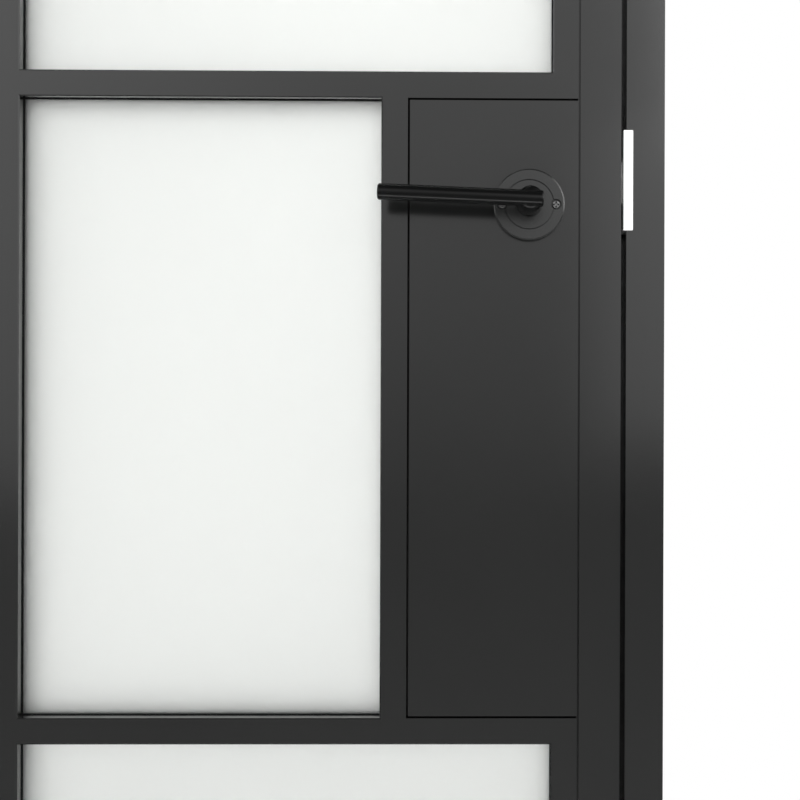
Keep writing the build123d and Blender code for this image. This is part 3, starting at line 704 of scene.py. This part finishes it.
class DOOR_OT_handles(bpy.types.Operator):
    """Turn both levers and the cross-head screws of the front rose"""

    bl_idname = "door.handles"
    bl_label = "Make handles"

    def execute(self, context):
        sizes = context.scene.door_handle
        coat = context.scene.door_coat
        lever_coat = coated_metal("satin_black_lever", coat.lever_color, coat.lever_roughness, coat)
        for side, out in zip(SIDES, (-1.0, 1.0)):
            lever = self.make_lever(f"lever_{side}", out, sizes)
            stand_in(lever, "handle", lever_coat, "handle_black", f"{side}_lever")
        screw_steel = drawn_metal("dark_screw_steel")
        screws = self.make_screws("cross_head_screws", sizes)
        stand_in(screws, "leaf", screw_steel, "screw_steel", "rose_screws")
        finish_nodes(screw_steel, SCREWS)
        return {"FINISHED"}

    @staticmethod
    def make_lever(name, out, sizes):
        """Round neck and straight round grip in one, with a square socket and a hole for the grub screw."""
        centre = np.array((HANDLE_X, 0.0, HANDLE_Z))
        outward = (0.0, out, 0.0)
        neck_profile = rounded_rod(NECK_FOOT, NECK_END, sizes.neck_radius, 0.0, sizes.neck_round)
        neck = turned(neck_profile, centre, outward)
        grip = turned(
            rounded_rod(GRIP_HEEL, GRIP_TIP, sizes.grip_radius, sizes.grip_round, sizes.grip_round),
            centre + (0.0, out * LEVER_REACH, 0.0), (-math.cos(sizes.tilt), 0.0, math.sin(sizes.tilt)),
        )
        socket = turned(rounded_rod(0.0, SOCKET_END, SOCKET_HALF), centre, outward, square_outline)
        grub_start = centre + (0.0, out * GRUB_Y, 0.0)
        grub = turned(rounded_rod(0.0, GRUB_REACH, GRUB_RADIUS), grub_start, DOWN)
        return solid(name, neck, ("UNION", grip), ("DIFFERENCE", socket), ("DIFFERENCE", grub))

    @staticmethod
    def make_screws(name, sizes):
        """Two long screws with rounded heads, each with a tapering cross sunk into it."""
        head = rounded_rod(0.0, SCREW_SEAT - SCREW_TOP, SCREW_HEAD, SCREW_ROUND)
        shank = rounded_rod(SCREW_ROUND, SCREW_END - SCREW_TOP, SCREW_SHANK)
        reach = sizes.recess_reach
        recess = np.array((
            (-RECESS_DEPTH, 0.0), (-RECESS_DEPTH, reach), (0.0, reach),
            (RECESS_DEPTH, reach * RECESS_TAPER), (RECESS_DEPTH, 0.0),
        ))
        share = sizes.recess_width / reach
        steps = []
        for x in (HANDLE_X - SCREW_OFFSET, HANDLE_X + SCREW_OFFSET):
            top = np.array((x, SCREW_TOP, HANDLE_Z))
            steps += [
                ("UNION", turned(head, top, INWARDS)),
                ("UNION", turned(shank, top, INWARDS)),
                ("DIFFERENCE", turned(recess, top, INWARDS, lambda turn: cross_outline(turn, share))),
            ]
        return solid(name, steps[0][1], *steps[1:])


class DOOR_OT_glaze(bpy.types.Operator):
    """Give the panes their milky glass and the gaskets and seals their rubber"""

    bl_idname = "door.glaze"
    bl_label = "Glaze"

    def execute(self, context):
        glass = context.scene.door_glass
        finish_nodes(milky_glass("milky_glass", glass), PANES)
        finish_nodes(black_rubber("black_rubber"), RUBBER)
        return {"FINISHED"}


class DOOR_OT_hardware(bpy.types.Operator):
    """Finish the lock, the strike, the screws and the inner pieces"""

    bl_idname = "door.hardware"
    bl_label = "Finish hardware"

    def execute(self, context):
        finish_nodes(drawn_metal("bright_strike_steel"), BRIGHT)
        zinc_plate = drawn_metal("zinc_plate")
        finish_nodes(zinc_plate, ZINC)
        self.make_spring(zinc_plate)
        finish_nodes(drawn_metal("mill_alloy"), ALLOY)
        finish_nodes(core_board("core_board"), BOARD)
        return {"FINISHED"}

    @staticmethod
    def make_spring(material):
        """Spring behind the latch, wound closer at its ends."""
        low, high = (np.array(corner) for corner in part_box("latch_spring"))
        length = high[0] - low[0]
        start = np.array((low[0] + SPRING_WIRE / 2, (low[1] + high[1]) / 2, (low[2] + high[2]) / 2))
        radius = (high[1] - low[1] - SPRING_WIRE) / 2
        wound = coil(start, length - SPRING_WIRE, radius, SPRING_WIRE, SPRING_TURNS, SPRING_CLOSING)
        spring = solid("latch_spring_coil", wound)
        stand_in(spring, "leaf", material, "zinc_steel", "latch_spring")
        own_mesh(spring)


class DOOR_OT_stage(bpy.types.Operator):
    """Set up the floor, the backdrop, the lights and the camera"""

    bl_idname = "door.stage"
    bl_label = "Set stage"

    def execute(self, context):
        settings = context.scene.door_stage
        self.make_floor(settings.floor_size / 2)
        self.make_world(context.scene)
        lamps = {
            name: area_light(name, place, target, size, getattr(settings, power))
            for name, (place, target, size, power) in LAMPS.items()
        }
        lamps["rear_light"].visible_transmission = False
        self.make_camera(context.scene, settings)
        context.scene.view_settings.view_transform = "Standard"
        return {"FINISHED"}

    @staticmethod
    def make_floor(half):
        """Pale floor with a faint mottle.

        Seen by the camera it turns into plain white further out. Seen through the glass it is plain too, and
        brightens with the distance.
        """
        cloud_scale, darker, lighter, roughness = 1.5, (0.58, 0.58, 0.577), (0.63, 0.63, 0.626), 0.7
        fade_range = (0.7, 1.4)
        depth_range, depth_levels = (0.8, 2.9), (0.45, 1.0)
        corners = [(-half, -half, 0), (half, -half, 0), (half, half, 0), (-half, half, 0)]
        floor = mesh_object("floor", corners, [(0, 1, 2, 3)])
        material, tree, shader = new_material("pale_floor")
        cloud = noise_node(tree, object_vector(tree), cloud_scale, detail=4.0)
        tree.links.new(blend_colors(tree, cloud, darker, lighter), shader.inputs["Base Color"])
        shader.inputs["Roughness"].default_value = roughness
        length = tree.nodes.new("ShaderNodeVectorMath")
        length.operation = "LENGTH"
        tree.links.new(object_vector(tree), length.inputs[0])
        distance = length.outputs["Value"]
        path = tree.nodes.new("ShaderNodeLightPath")
        by_camera, through_glass = path.outputs["Is Camera Ray"], path.outputs["Is Transmission Ray"]
        fade = ramp(tree, distance, fade_range, (0.0, 1.0), smooth=True)
        share = math_node(tree, "MAXIMUM", math_node(tree, "MULTIPLY", by_camera, fade), through_glass)
        white = tree.nodes.new("ShaderNodeEmission")
        depth = ramp(tree, distance, depth_range, depth_levels)
        tree.links.new(math_node(tree, "MAXIMUM", by_camera, depth), white.inputs["Strength"])
        blend = tree.nodes.new("ShaderNodeMixShader")
        tree.links.new(share, blend.inputs["Fac"])
        tree.links.new(shader.outputs["BSDF"], blend.inputs[1])
        tree.links.new(white.outputs["Emission"], blend.inputs[2])
        tree.links.new(blend.outputs["Shader"], tree.nodes["Material Output"].inputs["Surface"])
        floor.data.materials.append(material)

    @staticmethod
    def make_world(scene):
        """White sky whose level depends on what sees it.

        The camera sees full white, and matt surfaces one plain level. The glass sees it brighter, with a
        darker flag at each side. Metal mirrors a sky that brightens upwards and to the sides and falls off
        overhead. A ray scattered in the glass counts as mirrored as well, so the mirrored sky leaves it out.
        """
        flag_middle, flag_light, flag_dark = -0.19, 1.12, 0.62
        inner_fade, outer_fade = (0.06, 0.26), (0.45, 0.7)
        rise_range, rise_levels = (-0.2, 0.35), (0.4, 1.7)
        side_range, side_levels = (0.1, 0.5), (0.0, 0.9)
        fall_range, fall_levels = (0.4, 0.75), (1.0, 0.15)
        matt_level = 0.72
        world = bpy.data.worlds.new("studio")
        scene.world = world
        world.use_nodes = True
        tree = world.node_tree
        background = tree.nodes["Background"]
        path = tree.nodes.new("ShaderNodeLightPath")
        by_camera, through_glass = path.outputs["Is Camera Ray"], path.outputs["Is Transmission Ray"]
        parts = tree.nodes.new("ShaderNodeSeparateXYZ")
        coordinates = tree.nodes.new("ShaderNodeTexCoord")
        tree.links.new(coordinates.outputs["Generated"], parts.inputs["Vector"])
        sideways, upwards = parts.outputs["X"], parts.outputs["Z"]
        offset = math_node(tree, "ABSOLUTE", math_node(tree, "SUBTRACT", sideways, flag_middle))
        inner_edge = ramp(tree, offset, inner_fade, (flag_light, flag_dark))
        outer_edge = ramp(tree, offset, outer_fade, (flag_dark, flag_light))
        flags = math_node(tree, "MAXIMUM", inner_edge, outer_edge)
        seen = math_node(tree, "MAXIMUM", by_camera, math_node(tree, "MULTIPLY", through_glass, flags))
        rise = ramp(tree, upwards, rise_range, rise_levels)
        side = ramp(tree, math_node(tree, "ABSOLUTE", sideways), side_range, side_levels)
        fall = ramp(tree, upwards, fall_range, fall_levels)
        sky = math_node(tree, "MULTIPLY", math_node(tree, "ADD", rise, side), fall)
        mirrored = math_node(tree, "SUBTRACT", path.outputs["Is Glossy Ray"], through_glass)
        glossy = math_node(tree, "MULTIPLY", mirrored, sky)
        matt = math_node(tree, "MULTIPLY", path.outputs["Is Diffuse Ray"], matt_level)
        level = math_node(tree, "MAXIMUM", math_node(tree, "MAXIMUM", seen, glossy), matt)
        tree.links.new(level, background.inputs["Strength"])
        background.inputs["Color"].default_value = WHITE

    @staticmethod
    def make_camera(scene, settings):
        """Camera from the measured place, turn, tilt, lean, lens and shift."""
        sensor_width, nearest, farthest = 36.0, 0.05, 60.0
        data = bpy.data.cameras.new("camera")
        data.lens = settings.lens
        data.sensor_width = sensor_width
        data.shift_x, data.shift_y = settings.shift
        data.clip_start = nearest
        data.clip_end = farthest
        camera = bpy.data.objects.new("camera", data)
        scene.collection.objects.link(camera)
        turn = camera_axes(settings.yaw, settings.pitch, settings.roll)
        camera.matrix_world = Matrix.Translation(Vector(settings.camera_place)) @ turn.to_4x4()
        scene.camera = camera


class DOOR_PT_panel(bpy.types.Panel):
    """Sidebar panel with every setting and every step"""

    bl_idname = "DOOR_PT_panel"
    bl_label = "Glazed door"
    bl_space_type = "VIEW_3D"
    bl_region_type = "UI"
    bl_category = "Door"

    def draw(self, context):
        for name, group in SETTINGS.items():
            for setting in group.__annotations__:
                self.layout.prop(getattr(context.scene, name), setting)
        for step in STEPS:
            self.layout.operator(step.bl_idname)


SETTINGS = {
    "door_coat": CoatSettings, "door_handle": HandleSettings, "door_glass": GlassSettings,
    "door_stage": StageSettings,
}
STEPS = (DOOR_OT_coat, DOOR_OT_handles, DOOR_OT_glaze, DOOR_OT_hardware, DOOR_OT_stage)
CLASSES = (*SETTINGS.values(), *STEPS, DOOR_PT_panel)


def register():
    """Registers the classes and hangs the settings on the scene."""
    for cls in CLASSES:
        bpy.utils.register_class(cls)
    for name, group in SETTINGS.items():
        setattr(bpy.types.Scene, name, bpy.props.PointerProperty(type=group))


def unregister():
    """Takes the settings off the scene and unregisters the classes."""
    for name in SETTINGS:
        delattr(bpy.types.Scene, name)
    for cls in reversed(CLASSES):
        bpy.utils.unregister_class(cls)


def main():
    """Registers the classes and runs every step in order."""
    register()
    bpy.ops.door.coat()
    bpy.ops.door.handles()
    bpy.ops.door.glaze()
    bpy.ops.door.hardware()
    bpy.ops.door.stage()


if __name__ == "__main__":
    main()
